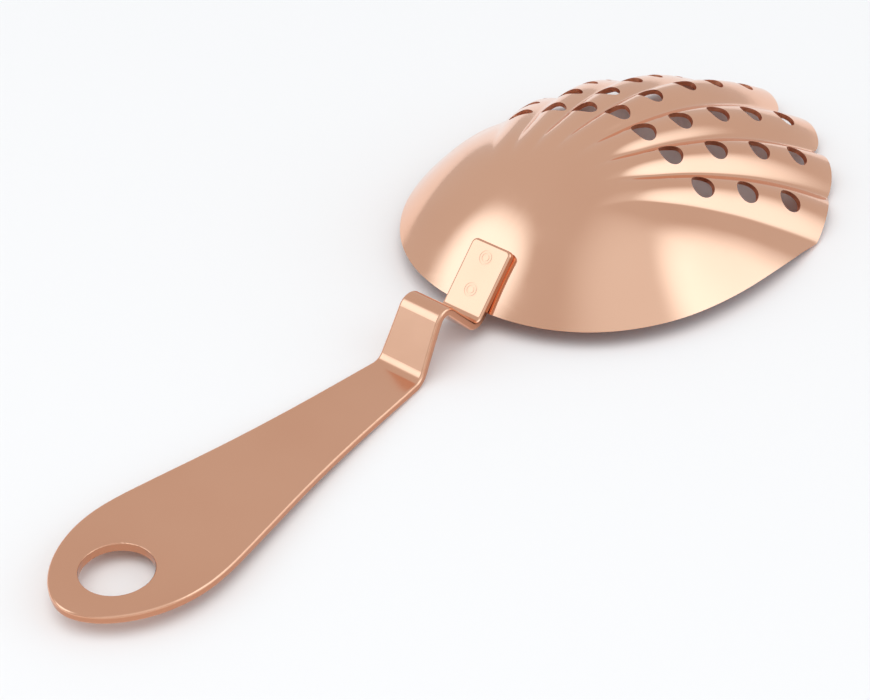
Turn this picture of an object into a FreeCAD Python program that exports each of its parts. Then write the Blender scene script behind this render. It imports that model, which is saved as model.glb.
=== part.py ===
import FreeCAD, Part
import Sketcher
from BOPTools import SplitAPI
import math
import os

# Scallop-shell bar strainer: a perforated, fluted bowl with a bent strip handle spot-welded to its back.
# Design frame: X runs from the handle's end to the bowl's front tip, Z is up,
# z = 0 is the plane of the bowl's rim.

doc = FreeCAD.newDocument("strainer")
sheet = doc.addObject("Spreadsheet::Sheet", "Sizes")

SIZES = [
    ("dome_middle", 13.1, "x of the bowl's widest station"),
    ("dome_back", 45.9, "widest station to the back of the rim"),
    ("dome_front", 45.0, "widest station to the front of the rim"),
    ("dome_side", 34.0, "half width of the rim"),
    ("dome_height", 19.74, "height factor of the outer skin"),
    ("dome_lean", 0.125, "loss of height per mm towards the front"),
    ("power_back", 2.4, "fullness of the back half"),
    ("power_front", 2.2, "fullness of the front half"),
    ("sheet_gauge", 0.8, "thickness of the bowl's sheet"),
    ("fan_apex", -30.8, "x of the point the flutes fan out from"),
    ("side_power", 0.25, "extra fullness of the sides towards the back"),
    ("fade_start", 18.5, "distance from the apex where the flutes begin"),
    ("fade_end", 35.0, "distance from the apex where they are fully formed"),
    ("flute_reach", 75.0, "distance from the apex where the flute depths are given"),
    ("crease", 0.14, "softness of the valleys' creases, 0 is sharp"),
    ("side_drop", 1.0, "how far the side ridges lie below the middle one"),
    ("hole_dia", 4.5, "strainer holes"),
    ("drill_round", 0.2, "rounding of the strainer holes' edges"),
    ("strip_gauge", 1.55, "thickness of the handle strip"),
    ("strap_width", 8.0, "width of the narrow strap and of the pad"),
    ("pad_station", -28.6, "x where the pad touches the bowl"),
    ("pad_above", 4.4, "pad length above the touching point"),
    ("weld_gap", 0.03, "gap between pad and bowl where they touch"),
    ("paddle_tilt", 1.26, "rise of the paddle towards its end, degrees"),
    ("paddle_top", -2.45, "height of the paddle's top face at the ramp foot"),
    ("foot_station", -50.8, "x of the ramp foot"),
    ("crest_station", -44.0, "x of the crest corner"),
    ("crest_top", 8.8, "height of the crest corner"),
    ("notch_slope", 47.2, "slope from the crest down to the notch, degrees"),
    ("foot_bend", 2.2, "bend radius at the ramp foot, top face"),
    ("crest_bend", 2.7, "bend radius at the crest, top face"),
    ("notch_bend", 1.2, "bend radius in the notch, top face"),
    ("paddle_end", -122.6, "x of the handle's end"),
    ("paddle_wide", 12.15, "largest half width of the paddle"),
    ("hang_station", -112.2, "x of the hanging hole"),
    ("hang_dia", 11.0, "hanging hole"),
    ("edge_round", 0.45, "rounding of the strip's edges"),
    ("hole_round", 0.15, "rounding of the hanging hole's edges"),
    ("pad_corner", 1.0, "rounding of the pad's two corners"),
    ("nugget_dia", 2.4, "spot weld"),
    ("nugget_bite", 0.3, "how deep a weld sits in each sheet"),
    ("nugget_low", -3.9, "lower weld along the pad from the touching point"),
    ("nugget_high", 1.9, "upper weld along the pad from the touching point"),
    ("rest_tilt", 1.066, "lean of the whole tool as it lies on a table, degrees"),
    ("rest_lift", 3.005, "height of the rim plane above the table"),
    ("rest_shift", 33.205, "shift that centres the tool on x = 0"),
]
for row, (alias, value, meaning) in enumerate(SIZES, 1):
    sheet.set("A%d" % row, alias)
    sheet.set("B%d" % row, str(value))
    sheet.set("C%d" % row, meaning)
    sheet.setAlias("B%d" % row, alias)
doc.recompute()


def size(alias):
    return float(getattr(sheet, alias))


# ridge: angle from the centre line, distances of its holes from the fan's apex, distance of its tip
RIDGES = [
    (0.0, (38.6, 48.6, 59.4, 68.6, 79.4), 87.0),
    (9.6, (38.1, 47.2, 56.9, 65.8, 75.2), 82.8),
    (18.8, (38.9, 48.7, 58.4, 67.3), 75.2),
    (28.2, (41.3, 50.1, 58.8), 66.6),
]
# valley: angle, distance of its end, depth below the ridges
VALLEYS = [(4.8, 80.8, 2.3), (14.2, 76.6, 2.6), (23.5, 70.4, 2.5), (33.0, 61.8, 1.9)]
SHOULDER = 45.0


def vec(x, y, z=0.0):
    return FreeCAD.Vector(x, y, z)


def smooth(t):
    t = min(1.0, max(0.0, t))
    return t * t * (3.0 - 2.0 * t)


def fan_point(angle, reach, z=0.0):
    a = math.radians(angle)
    return vec(size("fan_apex") + reach * math.cos(a), reach * math.sin(a), z)


def side_share(x, y):
    """Share of the height lost sideways: a parabola in front, a little fuller towards the back."""
    power = 2.0 + size("side_power") * smooth((5.0 - x) / 20.0)
    return (abs(y) / size("dome_side")) ** power


def length_share(x):
    along = x - size("dome_middle")
    if along > 0:
        return (along / size("dome_front")) ** size("power_front")
    return (-along / size("dome_back")) ** size("power_back")


def dome(x, y):
    height = size("dome_height") - size("dome_lean") * x
    return height * (1.0 - length_share(x) - side_share(x, y))


def flute(angle):
    """Depth below the ridges for an angle from the centre line: round ridges, creased valleys."""
    stops = []
    for ridge, valley in zip(RIDGES, VALLEYS):
        stops += [(ridge[0], 0.0), (valley[0], valley[2])]
    stops.append((SHOULDER, 0.0))
    soft = size("crease")
    depth = 0.0
    for (a, start), (b, end) in zip(stops, stops[1:]):
        if a <= angle < b:
            climb = (angle - a) / (b - a) if start > end else (b - angle) / (b - a)
            wave = math.sin(climb * math.pi / 2.0)
            rise = (math.hypot(wave, soft) - soft) / (math.hypot(1.0, soft) - soft)
            depth = max(start, end) * (1.0 - rise)
    side = smooth(angle / RIDGES[1][0]) * (1.0 - smooth((angle - RIDGES[3][0]) / 10.0))
    return depth + size("side_drop") * side


def skin(x, y):
    """Height of the bowl's outer skin."""
    reach = math.hypot(x - size("fan_apex"), y)
    if reach <= size("fade_start"):
        return dome(x, y)
    angle = math.degrees(math.atan2(abs(y), x - size("fan_apex")))
    fade = smooth((reach - size("fade_start")) / (size("fade_end") - size("fade_start")))
    return dome(x, y) - fade * flute(angle) * reach / size("flute_reach")


def skin_normal(x, y):
    d = 0.02
    n = vec(skin(x - d, y) - skin(x + d, y), skin(x, y - d) - skin(x, y + d), 2 * d)
    return n.normalize()


def rim_edges():
    """Outline of the bowl seen from above: plain at the back and sides, one arc per flute in front."""
    valleys = [fan_point(angle, end) for angle, end, depth in VALLEYS]
    tips = [fan_point(angle, tip) for angle, holes, tip in RIDGES]
    mirrored = [vec(p.x, -p.y) for p in valleys]
    edges = [Part.Arc(mirrored[0], tips[0], valleys[0]).toShape()]
    for i in (1, 2, 3):
        edges.append(Part.Arc(valleys[i - 1], tips[i], valleys[i]).toShape())
        edges.insert(0, Part.Arc(mirrored[i], vec(tips[i].x, -tips[i].y), mirrored[i - 1]).toShape())
    plain = [valleys[3]]
    for turn in range(0, 181, 10):
        t = math.radians(turn)
        x = size("dome_middle") - size("dome_back") * math.sin(t) ** (2.0 / size("power_back"))
        power = 2.0 + size("side_power") * smooth((5.0 - x) / 20.0)
        width = size("dome_side") * max(0.0, 1.0 - length_share(x)) ** (1.0 / power)
        plain.append(vec(x, math.copysign(width, 90.0 - turn)))
    plain.append(mirrored[3])
    curve = Part.BSplineCurve()
    curve.interpolate(plain)
    edges.append(curve.toShape())
    return edges


def rim_knife():
    """Wall that stands square to the skin all along the outline, so the rim is cut like sheared sheet."""
    walls = []
    for edge in rim_edges():
        count = 81 if edge.Length > 60.0 else 17
        above, below = [], []
        for p in edge.discretize(count):
            n = skin_normal(p.x, p.y)
            p = vec(p.x, p.y, skin(p.x, p.y))
            above.append(p + n * 1.5)
            below.append(p - n * (size("sheet_gauge") + 1.5))
        top, bottom = Part.BSplineCurve(), Part.BSplineCurve()
        top.interpolate(above)
        bottom.interpolate(below)
        walls.append(Part.makeRuledSurface(top.toShape(), bottom.toShape()))
    return Part.makeShell(walls)


def fan_spread(x):
    """Half spread of the grid lines at x: rays of the fan in front, held apart behind it."""
    turn = -2.0
    return x - size("fan_apex") + 0.03 * max(0.0, turn - x) ** 2


def skin_patch(depth):
    """Smooth patch a given depth inside the outer skin, wider than the bowl, its lines along the flutes."""
    angles = [0.4 * i for i in range(101)] + [40.0 + 1.6 * i for i in range(1, 11)]
    slopes = [math.tan(math.radians(a)) for a in angles]
    slopes = [-t for t in reversed(slopes[1:])] + slopes
    low = size("dome_middle") - size("dome_back") - 2.0
    rows = []
    for i in range(65):
        x = low + i * 1.45
        row = []
        for slope in slopes:
            y = slope * fan_spread(x)
            row.append(vec(x, y, skin(x, y)) - skin_normal(x, y) * depth)
        rows.append(row)
    patch = Part.BSplineSurface()
    patch.interpolate(rows)
    return patch.toShape()


def rim_cut_bowl():
    """Slab between the two skins, cut along the rim."""
    outer = skin_patch(0.0)
    inner = skin_patch(size("sheet_gauge"))
    walls = []
    for a, b in zip(outer.Edges, inner.Edges):
        walls.append(Part.makeRuledSurface(a, b))
    slab = Part.Solid(Part.Shell([outer.Faces[0], inner.Faces[0]] + walls))
    if slab.Volume < 0:
        slab.reverse()
    pieces = SplitAPI.slice(slab, [rim_knife()], "Split", 1e-5).Solids
    crown = vec(size("dome_middle"), 0, skin(size("dome_middle"), 0) - size("sheet_gauge") / 2.0)
    return [piece for piece in pieces if piece.isInside(crown, 1e-3, True)][0]


def drill_bits():
    """One drill per hole, each square to the skin where it enters."""
    drills = []
    for angle, holes, tip in RIDGES:
        for reach in holes:
            for side in ((1, -1) if angle else (1,)):
                p = fan_point(side * angle, reach)
                p.z = skin(p.x, p.y)
                n = skin_normal(p.x, p.y)
                drills.append(Part.makeCylinder(size("hole_dia") / 2.0, 6.0, p - n * 3.0, n))
    return drills


def drilled_bowl():
    """The pressing with its holes drilled and both edges of every hole rounded."""
    bowl = rim_cut_bowl().cut(drill_bits()).Solids[0]
    edges = []
    for face in bowl.Faces:
        if face.Surface.TypeId == "Part::GeomCylinder":
            edges += [edge for edge in face.Edges if edge.Length > 1.4]
    return bowl.makeFillet(size("drill_round"), edges).Solids[0]


def rest_placement():
    """Turns the design frame to the way the tool lies on a table, table at z = 0."""
    spin = FreeCAD.Rotation(vec(0, 1, 0), size("rest_tilt"))
    return FreeCAD.Placement(vec(size("rest_shift"), 0, size("rest_lift")), spin)


def pad_frame():
    """Touching point of pad and bowl, direction up the pad and the outward normal there."""
    x = size("pad_station")
    n = skin_normal(x, 0.0)
    return vec(x, 0.0, skin(x, 0.0)) + n * size("weld_gap"), vec(n.z, 0.0, -n.x), n


def handle_corners():
    """Corners of the strip's top face in the design frame, from the ramp foot to the pad's end."""
    touch, up, out = pad_frame()
    top = touch + out * size("strip_gauge")
    foot = vec(size("foot_station"), 0, size("paddle_top"))
    crest = vec(size("crest_station"), 0, size("crest_top"))
    slope = math.radians(size("notch_slope"))
    fall = vec(math.cos(slope), 0, -math.sin(slope))
    gap = top - crest
    reach = (gap.x * up.z - gap.z * up.x) / (fall.x * up.z - fall.z * up.x)
    return foot, crest, crest + fall * reach, top + up * size("pad_above")


def handle_placement():
    foot = handle_corners()[0]
    return FreeCAD.Placement(foot, FreeCAD.Rotation(vec(0, 1, 0), size("paddle_tilt")))


def strip_profile(sketch):
    """Side view of the bent strip: straight runs joined by concentric bend arcs."""
    local = handle_placement().inverse()
    corners = [local.multVec(p) for p in handle_corners()]
    bends = [size("foot_bend"), size("crest_bend"), size("notch_bend")]
    far = size("paddle_end") - size("foot_station") - 2.0
    path = [vec(far, 0, 0)] + corners
    gauge = size("strip_gauge")
    top, bottom, middles = [path[0]], [path[0] - vec(0, 0, gauge)], []
    for before, here, after, bend in zip(path, path[1:], path[2:], bends):
        d1 = (here - before).normalize()
        d2 = (after - here).normalize()
        turn = math.acos(d1.dot(d2))
        reach = bend * math.tan(turn / 2.0)
        n1, n2 = vec(-d1.z, 0, d1.x), vec(-d2.z, 0, d2.x)
        side = 1.0 if d1.x * d2.z - d1.z * d2.x > 0 else -1.0
        a, b = here - d1 * reach, here + d2 * reach
        centre = a + n1 * (side * bend)
        toward = (here - centre).normalize()
        top += [a, b]
        bottom += [a - n1 * gauge, b - n2 * gauge]
        middles.append((centre + toward * bend, centre + toward * (bend + side * gauge)))
    d = (path[-1] - path[-2]).normalize()
    top.append(path[-1])
    bottom.append(path[-1] - vec(-d.z, 0, d.x) * gauge)
    flat = [vec(p.x, p.z) for p in top + bottom[::-1]]
    half = len(top)
    arcs = {}
    for i, (upper, lower) in enumerate(middles):
        arcs[1 + 2 * i] = upper
        arcs[2 * half - 3 - 2 * i] = lower
    entries = []
    for i, start in enumerate(flat):
        end = flat[(i + 1) % len(flat)]
        if i in arcs:
            sketch.addGeometry(Part.Arc(start, vec(arcs[i].x, arcs[i].z), end), False)
        else:
            sketch.addGeometry(Part.LineSegment(start, end), False)
        forward = sketch.getPoint(i, 1).distanceToPoint(start) < 1e-6
        entries.append((1, 2) if forward else (2, 1))
    for i, (enter, leave) in enumerate(entries):
        follow = (i + 1) % len(entries)
        sketch.addConstraint(Sketcher.Constraint("Coincident", i, leave, follow, entries[follow][0]))


def plane(body, role):
    for item in body.Origin.OriginFeatures:
        if item.Role == role:
            return item


def new_sketch(body, name, role):
    sketch = body.newObject("Sketcher::SketchObject", name)
    sketch.AttachmentSupport = [(plane(body, role), "")]
    sketch.MapMode = "FlatFace"
    return sketch


def plan_outline(sketch):
    """Seen from above: straight strap, then a long flare into the rounded paddle, with the hanging hole."""
    foot = size("foot_station")
    strap = size("strap_width") / 2.0
    wide = size("paddle_wide")
    end = size("paddle_end")
    side = [(-42.0, strap), (-50.8, 4.65), (-63.1, 5.95), (-83.8, 8.8), (-97.5, 11.3), (-106.3, wide)]
    side += [(-113.4, 10.55), (-118.4, 7.5), (-121.6, 3.6)]
    points = [vec(x - foot, half) for x, half in side] + [vec(end - foot, 0)]
    points += [vec(x - foot, -half) for x, half in reversed(side)]
    flare = Part.BSplineCurve()
    flare.interpolate(Points=points, InitialTangent=vec(-1, 0), FinalTangent=vec(1, 0))
    tip = size("pad_station") + 20.0 - foot
    sketch.addGeometry(flare, False)
    sketch.addGeometry(Part.LineSegment(points[-1], vec(tip, -strap)), False)
    sketch.addGeometry(Part.LineSegment(vec(tip, -strap), vec(tip, strap)), False)
    sketch.addGeometry(Part.LineSegment(vec(tip, strap), points[0]), False)
    for i in range(4):
        sketch.addConstraint(Sketcher.Constraint("Coincident", i, 2, (i + 1) % 4, 1))
    left, right, low, high = end - foot - 5.0, tip + 5.0, -wide - 5.0, wide + 5.0
    frame = [vec(left, low), vec(right, low), vec(right, high), vec(left, high)]
    for i in range(4):
        sketch.addGeometry(Part.LineSegment(frame[i], frame[(i + 1) % 4]), False)
    for i in range(4):
        sketch.addConstraint(Sketcher.Constraint("Coincident", 4 + i, 2, 4 + (i + 1) % 4, 1))


def hole_outline(sketch):
    hang = sketch.addGeometry(Part.Circle(vec(-61.4, 0), vec(0, 0, 1), 5.5), False)
    sketch.addConstraint(Sketcher.Constraint("Diameter", hang, 11.0))
    sketch.renameConstraint(0, "hang_dia")
    sketch.addConstraint(Sketcher.Constraint("DistanceX", hang, 3, -1, 1, 61.4))
    sketch.renameConstraint(1, "hang_back")
    sketch.addConstraint(Sketcher.Constraint("PointOnObject", hang, 3, -1))
    sketch.setExpression("Constraints.hang_dia", "Sizes.hang_dia")
    sketch.setExpression("Constraints.hang_back", "Sizes.foot_station - Sizes.hang_station")


def build_handle():
    body = doc.addObject("PartDesign::Body", "handle_strip")
    profile = new_sketch(body, "side_profile", "XZ_Plane")
    strip_profile(profile)
    doc.recompute()
    strip = body.newObject("PartDesign::Pad", "strip")
    strip.Profile = profile
    strip.Midplane = True
    strip.setExpression("Length", "Sizes.paddle_wide * 2 + 2")
    doc.recompute()
    plan = new_sketch(body, "plan_outline", "XY_Plane")
    plan_outline(plan)
    doc.recompute()
    trim = body.newObject("PartDesign::Pocket", "trim")
    trim.Profile = plan
    trim.Midplane = True
    trim.Length = 80.0
    doc.recompute()
    if not 0.2 < trim.Shape.Volume / strip.Shape.Volume < 0.9:
        raise RuntimeError("the plan outline did not trim the strip")
    hang = new_sketch(body, "hang_hole_outline", "XY_Plane")
    hole_outline(hang)
    doc.recompute()
    punch = body.newObject("PartDesign::Pocket", "hang_hole")
    punch.Profile = hang
    punch.Midplane = True
    punch.Length = 10.0
    doc.recompute()
    if punch.Shape.Volume >= trim.Shape.Volume:
        raise RuntimeError("the hanging hole removed nothing")
    corner = new_fillet(body, punch, "pad_corners", "pad_corner", pad_corner_edge)
    soften = new_fillet(body, corner, "soft_edges", "edge_round", outer_edge)
    rim = new_fillet(body, soften, "soft_hole", "hole_round", hole_edge)
    body.Tip = rim
    body.Placement = rest_placement().multiply(handle_placement())
    doc.recompute()
    return body


def new_fillet(body, base, name, radius, wanted):
    fillet = body.newObject("PartDesign::Fillet", name)
    names = ["Edge%d" % (i + 1) for i, edge in enumerate(base.Shape.Edges) if wanted(edge)]
    fillet.Base = (base, names)
    fillet.setExpression("Radius", "Sizes." + radius)
    doc.recompute()
    if fillet.Shape.isNull() or not fillet.Shape.isValid():
        raise RuntimeError(name + " failed")
    return fillet


def pad_corner_edge(edge):
    box = edge.BoundBox
    through = abs(edge.Length - size("strip_gauge")) < 0.02
    return through and box.XMin > 20.0 and box.YLength < 0.01


def hole_edge(edge):
    centre = size("hang_station") - size("foot_station")
    around = math.hypot(edge.CenterOfMass.x - centre, edge.CenterOfMass.y) < 0.5
    return around and edge.Length > 30.0


def outer_edge(edge):
    box = edge.BoundBox
    if hole_edge(edge) or abs(edge.Length - size("strip_gauge")) < 0.02:
        return False
    across = box.YLength > 7.0 and box.XLength < 0.5
    return not (across and edge.CenterOfMass.x < 22.0) and box.XLength + box.YLength > 0.05


def weld_gap_below(point, out):
    """Distance from a point on the pad's underside to the bowl's skin, along the pad's normal."""
    near, far = -0.5, 3.0
    for step in range(40):
        middle = (near + far) / 2.0
        p = point - out * middle
        if p.z > skin(p.x, p.y):
            near = middle
        else:
            far = middle
    return near


def build_welds():
    touch, up, out = pad_frame()
    nuggets = []
    for name in ("nugget_low", "nugget_high"):
        foot = touch + up * size(name)
        gap = weld_gap_below(foot, out)
        start = foot - out * (gap + size("nugget_bite"))
        nugget = doc.addObject("Part::Cylinder", name)
        nugget.setExpression("Radius", "Sizes.nugget_dia / 2")
        nugget.setExpression("Height", "Sizes.nugget_bite * 2 + %.4f" % gap)
        placed = FreeCAD.Placement(start, FreeCAD.Rotation(vec(0, 0, 1), out))
        nugget.Placement = rest_placement().multiply(placed)
        nuggets.append(nugget)
    welds = doc.addObject("Part::Compound", "spot_welds")
    welds.Links = nuggets
    welds.Label = "spot_welds"
    doc.recompute()
    return welds


def seat(name, base, welds):
    """The pressing with the two weld seats taken out of it."""
    cut = doc.addObject("Part::Cut", name)
    cut.Base = base
    cut.Tool = welds
    cut.Label = name
    doc.recompute()
    return cut


def check(objects):
    for item in objects:
        if "Invalid" in item.State or "Error" in item.State:
            raise RuntimeError(item.Name + " is in error")
        if hasattr(item, "Shape") and (item.Shape.isNull() or not item.Shape.isValid()):
            raise RuntimeError(item.Name + " has no valid shape")


pressing = doc.addObject("Part::Feature", "bowl_pressing")
pressing.Shape = drilled_bowl()
pressing.Placement = rest_placement()
strip_body = build_handle()
spot_welds = build_welds()
nodes = [seat("strainer_bowl", pressing, spot_welds), seat("handle", strip_body, spot_welds), spot_welds]
doc.recompute()
check([o for o in doc.Objects if not o.isDerivedFrom("Spreadsheet::Sheet")])
os.makedirs("parts", exist_ok=True)
for node in nodes:
    solids = len(node.Shape.Solids)
    box = node.Shape.optimalBoundingBox(True, False)
    print(node.Label, solids, "solids", round(node.Shape.Volume, 1), "mm3", box)
    node.Shape.exportStep("parts/%s.step" % node.Label)
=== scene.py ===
# %% [markdown]
# # A scallop-shell julep strainer
# The tool is made of two sheet-metal pressings: a perforated, fluted bowl that lies convex side up, and a
# bent strip handle held to its back by two spot welds. Both are plated with bright copper. The packed
# frame gives every size and place. This lesson is about surface, finish and light: how a mesh is laid out
# so that its highlights run clean, how thin plating over pressed steel is given its tone, its gloss and
# its small marks, and how a polished thing is lit so that it reads.
#
# ## Loading the parts
# The handle and the welds could be modelled again here, but their solids already carry the right
# curves, so they are loaded and kept exactly as they are. Only the bowl gets a new mesh.

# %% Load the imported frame
import math
import bpy
from mathutils import Matrix, Vector


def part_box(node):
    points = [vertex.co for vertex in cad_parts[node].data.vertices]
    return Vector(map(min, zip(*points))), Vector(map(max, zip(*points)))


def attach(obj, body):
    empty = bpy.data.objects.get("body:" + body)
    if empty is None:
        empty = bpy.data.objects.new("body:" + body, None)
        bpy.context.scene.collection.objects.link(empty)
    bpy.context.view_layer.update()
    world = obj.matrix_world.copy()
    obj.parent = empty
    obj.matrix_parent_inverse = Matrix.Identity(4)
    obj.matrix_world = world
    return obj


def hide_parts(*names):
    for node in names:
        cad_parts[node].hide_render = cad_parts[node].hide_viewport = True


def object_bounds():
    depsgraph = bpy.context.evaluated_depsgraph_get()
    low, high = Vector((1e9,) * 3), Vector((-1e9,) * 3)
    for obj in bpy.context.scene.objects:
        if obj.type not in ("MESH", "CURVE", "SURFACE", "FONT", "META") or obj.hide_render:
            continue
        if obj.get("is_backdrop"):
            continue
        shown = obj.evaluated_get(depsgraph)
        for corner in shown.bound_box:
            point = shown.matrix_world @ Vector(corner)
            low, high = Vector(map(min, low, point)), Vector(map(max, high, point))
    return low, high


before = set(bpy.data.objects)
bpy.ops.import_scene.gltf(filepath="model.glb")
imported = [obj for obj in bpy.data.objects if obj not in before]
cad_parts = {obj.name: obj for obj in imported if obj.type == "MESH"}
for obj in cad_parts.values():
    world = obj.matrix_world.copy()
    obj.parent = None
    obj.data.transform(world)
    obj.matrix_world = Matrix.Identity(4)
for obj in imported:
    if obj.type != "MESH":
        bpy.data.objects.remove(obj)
cad_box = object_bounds()
for name, piece in sorted(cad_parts.items()):
    print(name, "faces:", len(piece.data.polygons), "slots:", len(piece.material_slots))
print("size in mm:", [round(1000 * (high - low), 2) for low, high in zip(*cad_box)])

# %% [markdown]
# ## Camera
# The tool lies on a table and is seen from behind the paddle, a little to its right and well above it.
# A short lens would swell the paddle, which is the nearest part. A long lens from farther away keeps the
# two ends in proportion, so a focal length of more than 80 mm is used.

# %% Camera
CAMERA_PLACE = (-0.20555, -0.17142, 0.20125)
CAMERA_TURN = (52.3507, 1.7201, -50.2710)
FOCAL_LENGTH = 83.506
SENSOR_WIDTH = 36.0

bpy.ops.object.select_all(action="DESELECT")
bpy.ops.object.camera_add(location=CAMERA_PLACE, rotation=[math.radians(a) for a in CAMERA_TURN])
camera = bpy.context.object
camera.name = "table_camera"
camera.data.lens = FOCAL_LENGTH
camera.data.sensor_width = SENSOR_WIDTH
camera.data.clip_start = 0.01
bpy.context.scene.camera = camera
bpy.context.scene.view_settings.view_transform = "Standard"
print("camera looks from", [round(1000 * v) for v in camera.location], "mm")

# %% [markdown]
# ## Node helpers
# A procedural finish is a small graph of nodes. These helpers add one node, set its options and join its
# inputs in a single call, so that each finish below reads as a short recipe instead of a list of links.

# %% Node helpers
def add_node(tree, kind, inputs=None, **options):
    """Add a node, set its options, then fill its inputs with values or with other nodes' outputs."""
    node = tree.nodes.new(kind)
    for option, value in options.items():
        setattr(node, option, value)
    for key, value in (inputs or {}).items():
        if isinstance(value, bpy.types.NodeSocket):
            tree.links.new(value, node.inputs[key])
        else:
            node.inputs[key].default_value = value
    return node


def calculate(tree, operation, first, second=0.0):
    return add_node(tree, "ShaderNodeMath", {0: first, 1: second}, operation=operation).outputs["Value"]


def fade(tree, value, start, end, low, high):
    """Blend smoothly from low to high while the value goes from start to end."""
    limits = {"Value": value, "From Min": start, "From Max": end, "To Min": low, "To Max": high}
    ramp = add_node(tree, "ShaderNodeMapRange", limits, interpolation_type="SMOOTHSTEP")
    return ramp.outputs["Result"]


print("helpers ready")

# %% [markdown]
# ## Table
# A matt, nearly white sheet of paper lies under the tool. Paper is rough and hardly shiny, so its only
# jobs are to catch a soft contact shadow and to send white light back up under the bowl's rim.

# %% Table
TABLE_SIZE = 6.0
PAPER = (0.845, 0.81, 0.795, 1.0)

bpy.ops.object.select_all(action="DESELECT")
bpy.ops.mesh.primitive_plane_add(size=TABLE_SIZE, location=(0, 0, 0))
table = bpy.context.object
table.name = "table"
paper = bpy.data.materials.new("matt_paper")
paper.use_nodes = True
paper_shader = paper.node_tree.nodes["Principled BSDF"]
paper_shader.inputs["Base Color"].default_value = PAPER
paper_shader.inputs["Roughness"].default_value = 0.9
paper_shader.inputs["Specular IOR Level"].default_value = 0.1
table.data.materials.append(paper)
table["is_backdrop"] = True
print("table", TABLE_SIZE, "m wide")

# %% [markdown]
# ## Studio
# Polished metal shows its surroundings, not light that falls on it. In an empty white world it looks
# like painted plastic. Real tabletop studios hang large soft panels around the object: one broad panel
# far behind it to the left, one in front to the right, and a dimmer one overhead at the near side. Lamps
# could do this, but soft-edged patches in the world give the same smooth bands and no noise. Each patch
# is a direction, a soft edge between two angles and a strength. The panels are slightly cool, so copper
# turns from warm brown to cream where it mirrors them.

# %% Studio panels
ROOM_LIGHT = 0.62
PANEL_TINT = (0.70, 1.0, 1.2)
# azimuth, elevation, angle of the full core, angle where it has faded out, strength
PANELS = {
    "far_left": (133, 37, 10, 26, 1.08),
    "near_right": (-57, 24, 10, 32, 0.98),
    "near_top": (-100, 45, 10, 45, 0.30),
    "behind_handle": (-150, 24, 6, 18, 0.30),
    "low_left": (150, 12, 6, 20, 0.17),
}


def panel_light(tree, direction, azimuth, elevation, core, edge, strength):
    """Strength of one soft panel seen in a direction."""
    a, e = math.radians(azimuth), math.radians(elevation)
    axis = (math.cos(e) * math.cos(a), math.cos(e) * math.sin(a), math.sin(e))
    facing = add_node(tree, "ShaderNodeVectorMath", {0: direction, 1: axis}, operation="DOT_PRODUCT")
    far, near = math.cos(math.radians(edge)), math.cos(math.radians(core))
    return fade(tree, facing.outputs["Value"], far, near, 0.0, strength)


studio = bpy.data.worlds.new("studio")
bpy.context.scene.world = studio
studio.use_nodes = True
room = studio.node_tree
direction = add_node(room, "ShaderNodeTexCoord").outputs["Generated"]
total = None
for panel in PANELS.values():
    glow = panel_light(room, direction, *panel)
    total = glow if total is None else calculate(room, "ADD", total, glow)
tinted = add_node(room, "ShaderNodeVectorMath", {0: PANEL_TINT}, operation="SCALE")
room.links.new(total, tinted.inputs["Scale"])
walls = (ROOM_LIGHT, ROOM_LIGHT, ROOM_LIGHT)
mixed = add_node(room, "ShaderNodeVectorMath", {0: tinted.outputs["Vector"], 1: walls}, operation="ADD")
background = room.nodes["Background"]
background.inputs["Strength"].default_value = 1.0
room.links.new(mixed.outputs["Vector"], background.inputs["Color"])
print("studio with", len(PANELS), "panels")

# %% [markdown]
# ## Overhead softbox
# The world alone would leave the table a flat grey with hardly a shadow. One wide disk lamp above the
# tool whitens the paper and draws a soft shadow beside the bowl. It is hidden from reflections, since
# the metal already mirrors the panels.

# %% Overhead softbox
bpy.ops.object.select_all(action="DESELECT")
bpy.ops.object.light_add(type="AREA", location=(-0.3, -0.1, 1.2))
softbox = bpy.context.object
softbox.name = "softbox"
softbox.data.shape = "DISK"
softbox.data.size = 1.2
softbox.data.energy = 7.3
softbox.rotation_euler = (0, math.radians(-14), 0)
softbox.visible_glossy = False
print("softbox", softbox.data.energy, "W")

# %% [markdown]
# ## Copper plating
# The plating is a few thousandths of a millimetre of copper on polished steel, under a clear lacquer. A
# single metal colour with one roughness would look like a computer's idea of copper. Three things make
# it real. The tone drifts slowly where the bath plated thicker or the lacquer lies heavier. The gloss
# drifts too: handling leaves faint clouds that blur the reflections a little. And the steel below keeps
# a fine skin of ripples from polishing. All three are noise on the object's own coordinates, in metres,
# so a scale of 60 means spots about 17 mm wide and a scale of 900 means ripples about a millimetre wide.

# %% Copper plating
COPPER = (0.95, 0.55, 0.375, 1.0)
HANDLED_COPPER = (0.91, 0.50, 0.33, 1.0)
# painted dark reflection: a darker copper for the handle's upright edges
EDGE_PAINTED_REFLECTION = (0.58, 0.27, 0.16, 1.0)
TONE_DRIFT = (0.955, 0.92, 0.90, 1.0)
CLOUD_SCALE = 140.0
# painted shade: a darker, redder copper for every face off the bowl's outer skin
INSIDE_PAINTED_SHADE = (0.78, 0.34, 0.20, 1.0)


def noise(tree, place, scale, detail, stretch=(1.0, 1.0, 1.0)):
    """Cloudy noise between 0 and 1. The stretch makes it finer along some axes than along others."""
    spread = add_node(tree, "ShaderNodeMapping", {"Vector": place, "Scale": stretch})
    cloud = {"Vector": spread.outputs["Vector"], "Scale": scale, "Detail": detail}
    return add_node(tree, "ShaderNodeTexNoise", cloud).outputs["Fac"]


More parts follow.
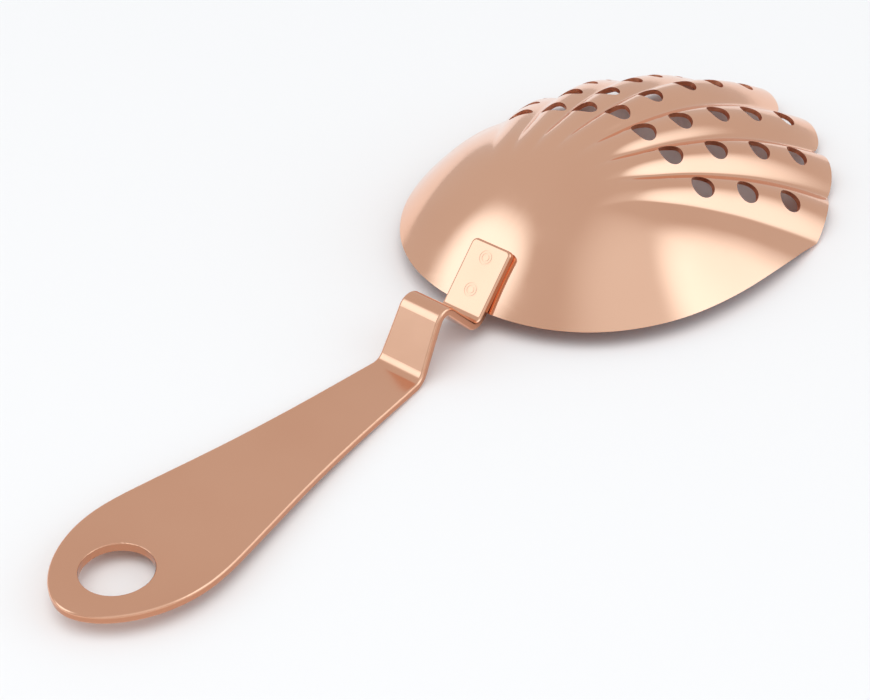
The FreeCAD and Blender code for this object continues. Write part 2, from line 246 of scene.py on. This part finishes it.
def plating(name, tone_scale, gloss, clouded, colour=COPPER):
    """Copper whose tone and gloss drift, as a material, its tree, its coordinates and its shader."""
    material = bpy.data.materials.new(name)
    material.use_nodes = True
    tree = material.node_tree
    place = add_node(tree, "ShaderNodeTexCoord").outputs["Object"]
    shader = tree.nodes["Principled BSDF"]
    shader.inputs["Metallic"].default_value = 1.0
    drift = fade(tree, noise(tree, place, tone_scale, 3.0), 0.35, 0.75, 0.0, 1.0)
    tone = add_node(tree, "ShaderNodeMix", data_type="RGBA")
    tree.links.new(drift, tone.inputs["Factor"])
    tone.inputs[6].default_value = colour
    tone.inputs[7].default_value = [c * d for c, d in zip(colour, TONE_DRIFT)]
    tree.links.new(tone.outputs[2], shader.inputs["Base Color"])
    clouds = noise(tree, place, CLOUD_SCALE, 6.0)
    tree.links.new(fade(tree, clouds, 0.40, 0.70, gloss, clouded), shader.inputs["Roughness"])
    return material, tree, place, shader


def relief(tree, shader, height, depth, below=None):
    """Turn a height between 0 and 1 into dents of a depth in metres, on top of an earlier relief."""
    bump = add_node(tree, "ShaderNodeBump", {"Height": height, "Distance": depth, "Strength": 1.0})
    if below is not None:
        tree.links.new(below, bump.inputs["Normal"])
    tree.links.new(bump.outputs["Normal"], shader.inputs["Normal"])
    return bump.outputs["Normal"]


print("plating recipe ready")

# %% [markdown]
# ## The bowl's surface as a formula
# A mirror finish shows every facet, and the ridges and creases of the shell are where a mesh with
# random triangles shows combs and teeth in its highlights. The cure is a mesh whose lines run along the
# flutes. The press tool itself has a simple rule, so the same rule is used here, in millimetres from
# the middle of the rim: a dome, minus flutes that fan out from one point near the handle. Ridges are
# round and valleys are creased. A flute's depth grows with the distance from the fan's point.

# %% Sizes of the shell
WIDEST_X, BACK, FRONT, HALF_WIDTH = 13.1, 45.9, 45.0, 34.0
BACK_POWER, FRONT_POWER, SIDE_POWER, EXTRA_SIDE_POWER = 2.4, 2.2, 2.0, 0.25
DOME_HEIGHT, DOME_LEAN = 19.74, 0.125
FAN_POINT = -30.8
FADE_START, FADE_END, FULL_REACH = 18.5, 35.0, 75.0
CREASE_SOFTNESS, SIDE_DROP = 0.14, 1.0
SHEET = 0.8
# each ridge: angle in degrees, distances of its holes from the fan's point, distance of its tip
RIDGES = [
    (0.0, (38.6, 48.6, 59.4, 68.6, 79.4), 87.0),
    (9.6, (38.1, 47.2, 56.9, 65.8, 75.2), 82.8),
    (18.8, (38.9, 48.7, 58.4, 67.3), 75.2),
    (28.2, (41.3, 50.1, 58.8), 66.6),
]
# each valley: angle in degrees, distance of its end, depth
VALLEYS = [(4.8, 80.8, 2.3), (14.2, 76.6, 2.6), (23.5, 70.4, 2.5), (33.0, 61.8, 1.9)]
SHOULDER = 45.0


def smooth(t):
    """Ease from 0 to 1."""
    t = min(1.0, max(0.0, t))
    return t * t * (3.0 - 2.0 * t)


def side_power(x):
    """How full the dome's cross-section is at x: a parabola in front, a little fuller at the back."""
    return SIDE_POWER + EXTRA_SIDE_POWER * smooth((5.0 - x) / 20.0)


def length_share(x):
    """Share of the dome's height that is lost at x, from 0 at the widest station to 1 at the rim."""
    along = x - WIDEST_X
    return (along / FRONT) ** FRONT_POWER if along > 0 else (-along / BACK) ** BACK_POWER


def flute_depth(angle):
    """Depth below the ridges at an angle from the middle: round ridges and creased valleys."""
    stops = []
    for ridge, valley in zip(RIDGES, VALLEYS):
        stops += [(ridge[0], 0.0), (valley[0], valley[2])]
    stops.append((SHOULDER, 0.0))
    depth = 0.0
    for (a, start), (b, end) in zip(stops, stops[1:]):
        if a <= angle < b:
            climb = (angle - a) / (b - a) if start > end else (b - angle) / (b - a)
            rise = math.hypot(math.sin(climb * math.pi / 2), CREASE_SOFTNESS) - CREASE_SOFTNESS
            depth = max(start, end) * (1.0 - rise / (math.hypot(1.0, CREASE_SOFTNESS) - CREASE_SOFTNESS))
    side = smooth(angle / RIDGES[1][0]) * (1.0 - smooth((angle - RIDGES[3][0]) / 10.0))
    return depth + SIDE_DROP * side


def shell_height(x, y):
    """Height of the outer skin."""
    dome = (DOME_HEIGHT - DOME_LEAN * x) * (1.0 - length_share(x) - (abs(y) / HALF_WIDTH) ** side_power(x))
    reach = math.hypot(x - FAN_POINT, y)
    angle = math.degrees(math.atan2(abs(y), x - FAN_POINT))
    formed = smooth((reach - FADE_START) / (FADE_END - FADE_START))
    return dome - formed * flute_depth(angle) * reach / FULL_REACH


def shell_normal(x, y, step=0.02):
    """Outward normal of the outer skin, from the slopes over a short step."""
    slope_x = shell_height(x - step, y) - shell_height(x + step, y)
    slope_y = shell_height(x, y - step) - shell_height(x, y + step)
    return Vector((slope_x, slope_y, 2 * step)).normalized()


print("height at the crown:", round(shell_height(WIDEST_X, 0.0), 2), "mm")

# %% [markdown]
# ## The rim's outline
# Seen from above the rim is a plain egg shape at the back and one small arc per ridge in front. The
# mesh will have its columns on rays from the fan's point, so what it needs is the distance from that
# point to the rim for any angle. In front that is where a ray meets the arc through two valley ends and
# the ridge's tip. Behind the last valley it is where the ray crosses a short chord of the egg.

# %% Distance to the rim
def from_fan(angle, reach):
    """The point seen from above at an angle and a distance from the fan's point."""
    a = math.radians(angle)
    return Vector((FAN_POINT + reach * math.cos(a), reach * math.sin(a)))


def circle_through(p, q, r):
    """Centre and radius of the circle through three points."""
    d = 2 * (p.x * (q.y - r.y) + q.x * (r.y - p.y) + r.x * (p.y - q.y))
    pp, qq, rr = p.length_squared, q.length_squared, r.length_squared
    x = (pp * (q.y - r.y) + qq * (r.y - p.y) + rr * (p.y - q.y)) / d
    y = (pp * (r.x - q.x) + qq * (p.x - r.x) + rr * (q.x - p.x)) / d
    return Vector((x, y)), (Vector((x, y)) - p).length


def egg_points():
    """Points on one half of the plain rim, from the last valley's end back to the middle line."""
    points = [from_fan(VALLEYS[3][0], VALLEYS[3][1])]
    for turn in range(0, 91, 2):
        x = WIDEST_X - BACK * math.sin(math.radians(turn)) ** (2.0 / BACK_POWER)
        points.append(Vector((x, HALF_WIDTH * max(0.0, 1.0 - length_share(x)) ** (1.0 / side_power(x)))))
    return points


EGG = egg_points()


def rim_reach(angle):
    """Distance from the fan's point to the rim along a ray, for an angle from 0 to 180 degrees."""
    ray = from_fan(angle, 1.0) - from_fan(0.0, 0.0)
    start = Vector((FAN_POINT, 0.0))
    first_angle, first_reach, first_depth = VALLEYS[0]
    bounds = [-first_angle] + [valley[0] for valley in VALLEYS]
    ends = [from_fan(-first_angle, first_reach)] + [from_fan(v[0], v[1]) for v in VALLEYS]
    for i, ridge in enumerate(RIDGES):
        if bounds[i] <= angle <= bounds[i + 1]:
            centre, radius = circle_through(ends[i], from_fan(ridge[0], ridge[2]), ends[i + 1])
            along = (centre - start).dot(ray)
            return along + math.sqrt(radius ** 2 - (centre - start).length_squared + along ** 2)
    for p, q in zip(EGG, EGG[1:]):
        before, after = ray.cross(p - start), ray.cross(q - start)
        if before <= 1e-9 < after or before < 0 <= after:
            return (p + (q - p) * (before / (before - after)) - start).dot(ray)
    return (EGG[-1] - start).length


print("rim at 0, 40 and 180 degrees:", [round(rim_reach(a), 2) for a in (0.0, 40.0, 180.0)], "mm")

# %% [markdown]
# ## The outer and inner skins
# A grid is added and its vertices are moved: columns become rays, rows become rings. The first and last
# columns meet, and the first row shrinks to one point, so both are closed with a merge. The inner skin
# is a copy of the outer one, moved inward along its normals by the sheet's thickness. Solidify could do
# that too, but the formula's normals stay exact in the creases. Bridging the two open rims closes the
# sheet.

# %% Shape the two skins
RING_COUNT = 84
RING_CROWDING = 0.8
MERGE_DISTANCE = 1e-4
# where each run of columns ends, in degrees, and how many columns it has
COLUMN_STEPS = [(4.8, 12), (9.6, 12), (14.2, 12), (18.8, 12), (23.5, 12), (28.2, 12), (33.0, 12),
                (45.0, 20), (90.0, 30), (180.0, 24)]


def column_angles():
    """Angles of the mesh's columns once round the fan's point, closer together in the flutes."""
    angles = [0.0]
    for end, count in COLUMN_STEPS:
        start = angles[-1]
        angles += [start + (end - start) * (i + 1) / count for i in range(count)]
    return [-a for a in reversed(angles[1:])] + angles


def shaped_grid(angles):
    """A grid turned into the outer skin, in millimetres."""
    columns = len(angles) - 1
    bpy.ops.object.select_all(action="DESELECT")
    bpy.ops.mesh.primitive_grid_add(x_subdivisions=columns, y_subdivisions=RING_COUNT, size=2.0)
    skin = bpy.context.object
    reaches = [rim_reach(abs(a)) for a in angles]
    for vertex in skin.data.vertices:
        column = round((vertex.co.x + 1.0) / 2.0 * columns)
        ring = round((vertex.co.y + 1.0) / 2.0 * RING_COUNT) / RING_COUNT
        flat = from_fan(angles[column], reaches[column] * ring ** RING_CROWDING)
        vertex.co = (flat.x, flat.y, shell_height(flat.x, flat.y))
    bpy.ops.object.mode_set(mode="EDIT")
    bpy.ops.mesh.select_all(action="SELECT")
    bpy.ops.mesh.remove_doubles(threshold=MERGE_DISTANCE)
    bpy.ops.mesh.normals_make_consistent(inside=False)
    bpy.ops.object.mode_set(mode="OBJECT")
    return skin


outer = shaped_grid(column_angles())
if sum(polygon.normal.z for polygon in outer.data.polygons) < 0:
    outer.data.flip_normals()
bpy.ops.object.duplicate()
inner = bpy.context.object
for vertex in inner.data.vertices:
    vertex.co -= shell_normal(vertex.co.x, vertex.co.y) * SHEET
inner.data.flip_normals()
outer.select_set(True)
bpy.context.view_layer.objects.active = outer
bpy.ops.object.join()
bpy.ops.object.mode_set(mode="EDIT")
bpy.ops.mesh.select_all(action="DESELECT")
bpy.ops.mesh.select_mode(type="EDGE")
bpy.ops.mesh.select_non_manifold(extend=False, use_boundary=True, use_wire=False, use_multi_face=False,
                                 use_non_contiguous=False, use_verts=False)
bpy.ops.mesh.bridge_edge_loops()
bpy.ops.object.mode_set(mode="OBJECT")
print("sheet faces:", len(outer.data.polygons))

# %% [markdown]
# ## Punching the holes
# Each hole is drilled square to the skin where it enters. One cylinder per hole, all joined to a single
# cutter, is taken away in one boolean, which is faster and safer than 29 in a row.

# %% Punch the holes
HOLE_RADIUS = 2.25
HOLE_SIDES = 56
DRILL_LENGTH = 6.0


def add_drill(x, y):
    """A cylinder square to the skin at a place seen from above."""
    axis = shell_normal(x, y)
    turn = Vector((0, 0, 1)).rotation_difference(axis).to_euler()
    bpy.ops.mesh.primitive_cylinder_add(vertices=HOLE_SIDES, radius=HOLE_RADIUS, depth=DRILL_LENGTH,
                                        location=(x, y, shell_height(x, y)), rotation=turn)
    return bpy.context.object


bpy.ops.object.select_all(action="DESELECT")
drills = []
for angle, reaches, tip in RIDGES:
    for reach in reaches:
        for side in ((1, -1) if angle else (1,)):
            spot = from_fan(side * angle, reach)
            drills.append(add_drill(spot.x, spot.y))
for drill in drills:
    drill.select_set(True)
bpy.context.view_layer.objects.active = drills[0]
bpy.ops.object.join()
cutter = bpy.context.object
bpy.ops.object.transform_apply(location=True, rotation=True, scale=True)
bpy.ops.object.select_all(action="DESELECT")
bowl = outer
bowl.name = "shell_bowl"
bowl.select_set(True)
bpy.context.view_layer.objects.active = bowl
punch = bowl.modifiers.new("punch", "BOOLEAN")
punch.operation = "DIFFERENCE"
punch.solver = "EXACT"
punch.object = cutter
bpy.ops.object.modifier_apply(modifier=punch.name)
bpy.data.objects.remove(cutter, do_unlink=True)
print("punched", len(drills), "holes; faces:", len(bowl.data.polygons))

# %% [markdown]
# ## Laying the bowl on the table
# The formula's frame has the rim flat. The real tool leans a little, because it rests on the foot of
# its handle and on two valley ends, so the mesh is turned by that lean, lifted and moved, and scaled
# to metres. This goes into the vertices, so the object itself stays at the origin. A last clamp to the
# frame's own box takes off the few thousandths of a millimetre by which the two meshes differ.

# %% Lay the bowl down
LEAN = math.radians(1.066)
REST_SHIFT, REST_LIFT = 33.205, 3.005
SHARP_ANGLE = math.radians(40)

rest = Matrix.Scale(0.001, 4) @ Matrix.Translation((REST_SHIFT, 0, REST_LIFT)) @ Matrix.Rotation(LEAN, 4, "Y")
bowl.data.transform(rest)
bowl.location = (0, 0, 0)
bpy.ops.object.shade_smooth_by_angle(angle=SHARP_ANGLE)
low, high = (Vector(corner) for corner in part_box("strainer_bowl"))
for vertex in bowl.data.vertices:
    vertex.co = [min(max(value, low[i]), high[i]) for i, value in enumerate(vertex.co)]
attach(bowl, "root")
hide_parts("strainer_bowl")

# %% [markdown]
# ## Bowl finish
# The bowl is pressed from thin sheet and then buffed on a wheel, outside only. Pressing stretches the
# sheet, most of all over the ridges of the shell, and leaves it very slightly uneven, like still water.
# Buffing runs round the crown, so it leaves rings around it that are far too fine to see one by one but
# make highlights feather. The unevenness is wide noise a few thousandths of a millimetre deep. The
# rings are noise read by the distance from the crown's axis, so they follow the wheel.
#
# The inside and the walls of the holes never meet the wheel, so their plating stays satin. Their colour is
# a darker red-brown, which is painted shade: it stands in for the shade deep inside the bowl that makes the
# holes look dark. They get a finish of their own, given to every face that doesn't belong to the outer skin.

# %% Bowl finish
CROWN = (0.046, 0.0, 0.0)
SHEET_WAVES = 1.2e-5
BUFF_MARKS = 6.0e-7
RING_FINENESS = 2600.0
INSIDE_GRAIN = 3.0e-6
SKIN_TOLERANCE = 0.15

bowl_finish, tree, place, shader = plating("buffed_copper", 22.0, 0.10, 0.17)
waves = relief(tree, shader, noise(tree, place, 95.0, 2.0), SHEET_WAVES)
offset = add_node(tree, "ShaderNodeVectorMath", {0: place, 1: CROWN}, operation="SUBTRACT")
flat_share = {0: offset.outputs["Vector"], 1: (1, 1, 0)}
flat = add_node(tree, "ShaderNodeVectorMath", flat_share, operation="MULTIPLY")
away = add_node(tree, "ShaderNodeVectorMath", {0: flat.outputs["Vector"]}, operation="LENGTH")
ring_inputs = {"W": away.outputs["Value"], "Scale": RING_FINENESS, "Detail": 2.0}
rings = add_node(tree, "ShaderNodeTexNoise", ring_inputs, noise_dimensions="1D").outputs["Fac"]
relief(tree, shader, rings, BUFF_MARKS, waves)
# Painted shade: the inside faces get a darker, redder copper.
inside_finish_with_painted_shade, tree, place, shader = plating("unbuffed_copper_painted_shade", 60.0, 0.32, 0.48, INSIDE_PAINTED_SHADE)
relief(tree, shader, noise(tree, place, 1800.0, 3.0), INSIDE_GRAIN)
bowl.data.materials.clear()
bowl.data.materials.append(bowl_finish)
bowl.data.materials.append(inside_finish_with_painted_shade)
to_rim_frame = rest.inverted()
outside_count = 0
for polygon in bowl.data.polygons:
    spot = to_rim_frame @ polygon.center
    depth = shell_height(spot.x, spot.y) - spot.z
    outside = polygon.normal.z > 0 and depth < SKIN_TOLERANCE
    polygon.material_index = 0 if outside else 1
    outside_count += outside
print("outer faces:", outside_count, "of", len(bowl.data.polygons))

# %% [markdown]
# ## Handle finish
# The handle starts as a long strip that is ground and polished along its length before it is bent, so
# its marks run from the hanging hole to the pad. Stretched noise makes such lines: it changes fast
# across the strip and slowly along it. The paddle is what people hold, so its lacquer is cloudier than
# the bowl's. The upright edges of the strip get a darker copper, which is a painted dark reflection: it
# stands in for the shaded table just beside the strip, which these edges mirror. On this handle every
# broad face tips up or down and only the edges stand upright, so the normal's height tells them apart.
#
# Each spot weld leaves a pair of faint rings on the pad, where the round tip of the welding electrode
# pressed on the strip. A ring is a narrow dent at one distance from the weld's axis. The axes aren't typed
# in: they are measured on the two weld nuggets, which lie between the pad and the bowl.

# %% Find the welds
weld_points = sorted((v.co.copy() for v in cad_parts["spot_welds"].data.vertices), key=lambda p: p.x)
split = max(range(1, len(weld_points)), key=lambda i: weld_points[i].x - weld_points[i - 1].x)
groups = weld_points[:split], weld_points[split:]
weld_centres = [sum(group[1:], group[0]) / len(group) for group in groups]
along_pad = (weld_centres[1] - weld_centres[0]).normalized()
pad_normal = (-along_pad.z, 0.0, along_pad.x)
print("welds at", [[round(1000 * c, 2) for c in centre] for centre in weld_centres])

# %% Handle finish
GRAIN_DEPTH = 1.0e-6
STRIP_WAVES = 6.0e-6
RING_DEPTH = 2.5e-5
RING_WIDTH = 2.2e-4
RING_RADII = (0.00065, 0.00112)


def electrode_mark(tree, place, centre):
    """1 on two thin rings around a weld's axis and 0 elsewhere."""
    offset = add_node(tree, "ShaderNodeVectorMath", {0: place, 1: centre}, operation="SUBTRACT")
    across = {0: offset.outputs["Vector"], 1: pad_normal}
    sideways = add_node(tree, "ShaderNodeVectorMath", across, operation="CROSS_PRODUCT").outputs["Vector"]
    radius = add_node(tree, "ShaderNodeVectorMath", {0: sideways}, operation="LENGTH").outputs["Value"]
    mark = None
    for ring in RING_RADII:
        away = calculate(tree, "ABSOLUTE", calculate(tree, "SUBTRACT", radius, ring))
        line = fade(tree, away, 0.0, RING_WIDTH, 1.0, 0.0)
        mark = line if mark is None else calculate(tree, "MAXIMUM", mark, line)
    return mark


handle_finish, tree, place, shader = plating("drawn_copper", 30.0, 0.12, 0.21, HANDLED_COPPER)
facing = add_node(tree, "ShaderNodeSeparateXYZ", {0: add_node(tree, "ShaderNodeTexCoord").outputs["Normal"]})
upright = fade(tree, calculate(tree, "ABSOLUTE", facing.outputs["Z"]), 0.15, 0.45, 1.0, 0.0)
# Painted dark reflection: the upright edges are mixed towards a darker copper.
painted_edge_reflection = add_node(tree, "ShaderNodeMix", data_type="RGBA")
tree.links.new(upright, painted_edge_reflection.inputs["Factor"])
tree.links.new(shader.inputs["Base Color"].links[0].from_socket, painted_edge_reflection.inputs[6])
painted_edge_reflection.inputs[7].default_value = EDGE_PAINTED_REFLECTION
tree.links.new(painted_edge_reflection.outputs[2], shader.inputs["Base Color"])
waves = relief(tree, shader, noise(tree, place, 120.0, 2.0), STRIP_WAVES)
grain = noise(tree, place, 60.0, 3.0, stretch=(1.0, 60.0, 1.0))
lined = relief(tree, shader, grain, GRAIN_DEPTH, waves)
marks = [electrode_mark(tree, place, centre) for centre in weld_centres]
relief(tree, shader, calculate(tree, "SUBTRACT", 1.0, calculate(tree, "MAXIMUM", *marks)), RING_DEPTH, lined)
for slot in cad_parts["handle"].material_slots:
    slot.material = handle_finish
print("handle finish:", handle_finish.name, "with", len(tree.nodes), "nodes")

# %% [markdown]
# ## Weld finish
# The two nuggets sit between the pad and the bowl, where only a sliver can be seen. Fused metal is
# grainy and never polished, and plating in a gap comes out thin and dark. The same recipe is used with
# a duller gloss, and a fine grain relief is added.

# %% Weld finish
WELD_GRAIN = 2.0e-5

weld_finish, tree, place, shader = plating("fused_copper", 300.0, 0.30, 0.50)
relief(tree, shader, noise(tree, place, 2500.0, 3.0), WELD_GRAIN)
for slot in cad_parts["spot_welds"].material_slots:
    slot.material = weld_finish
print("weld finish:", weld_finish.name, "with", len(tree.nodes), "nodes")

# %% [markdown]
# ## Measuring and finishing
# The finishes must not have changed any size, so the box is measured again and the largest change from
# the first box is printed.

# %% Measure and finish
finished_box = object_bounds()
change = max(abs(a - b) for old, new in zip(cad_box, finished_box) for a, b in zip(old, new))
print("largest change of the box:", change, "m")
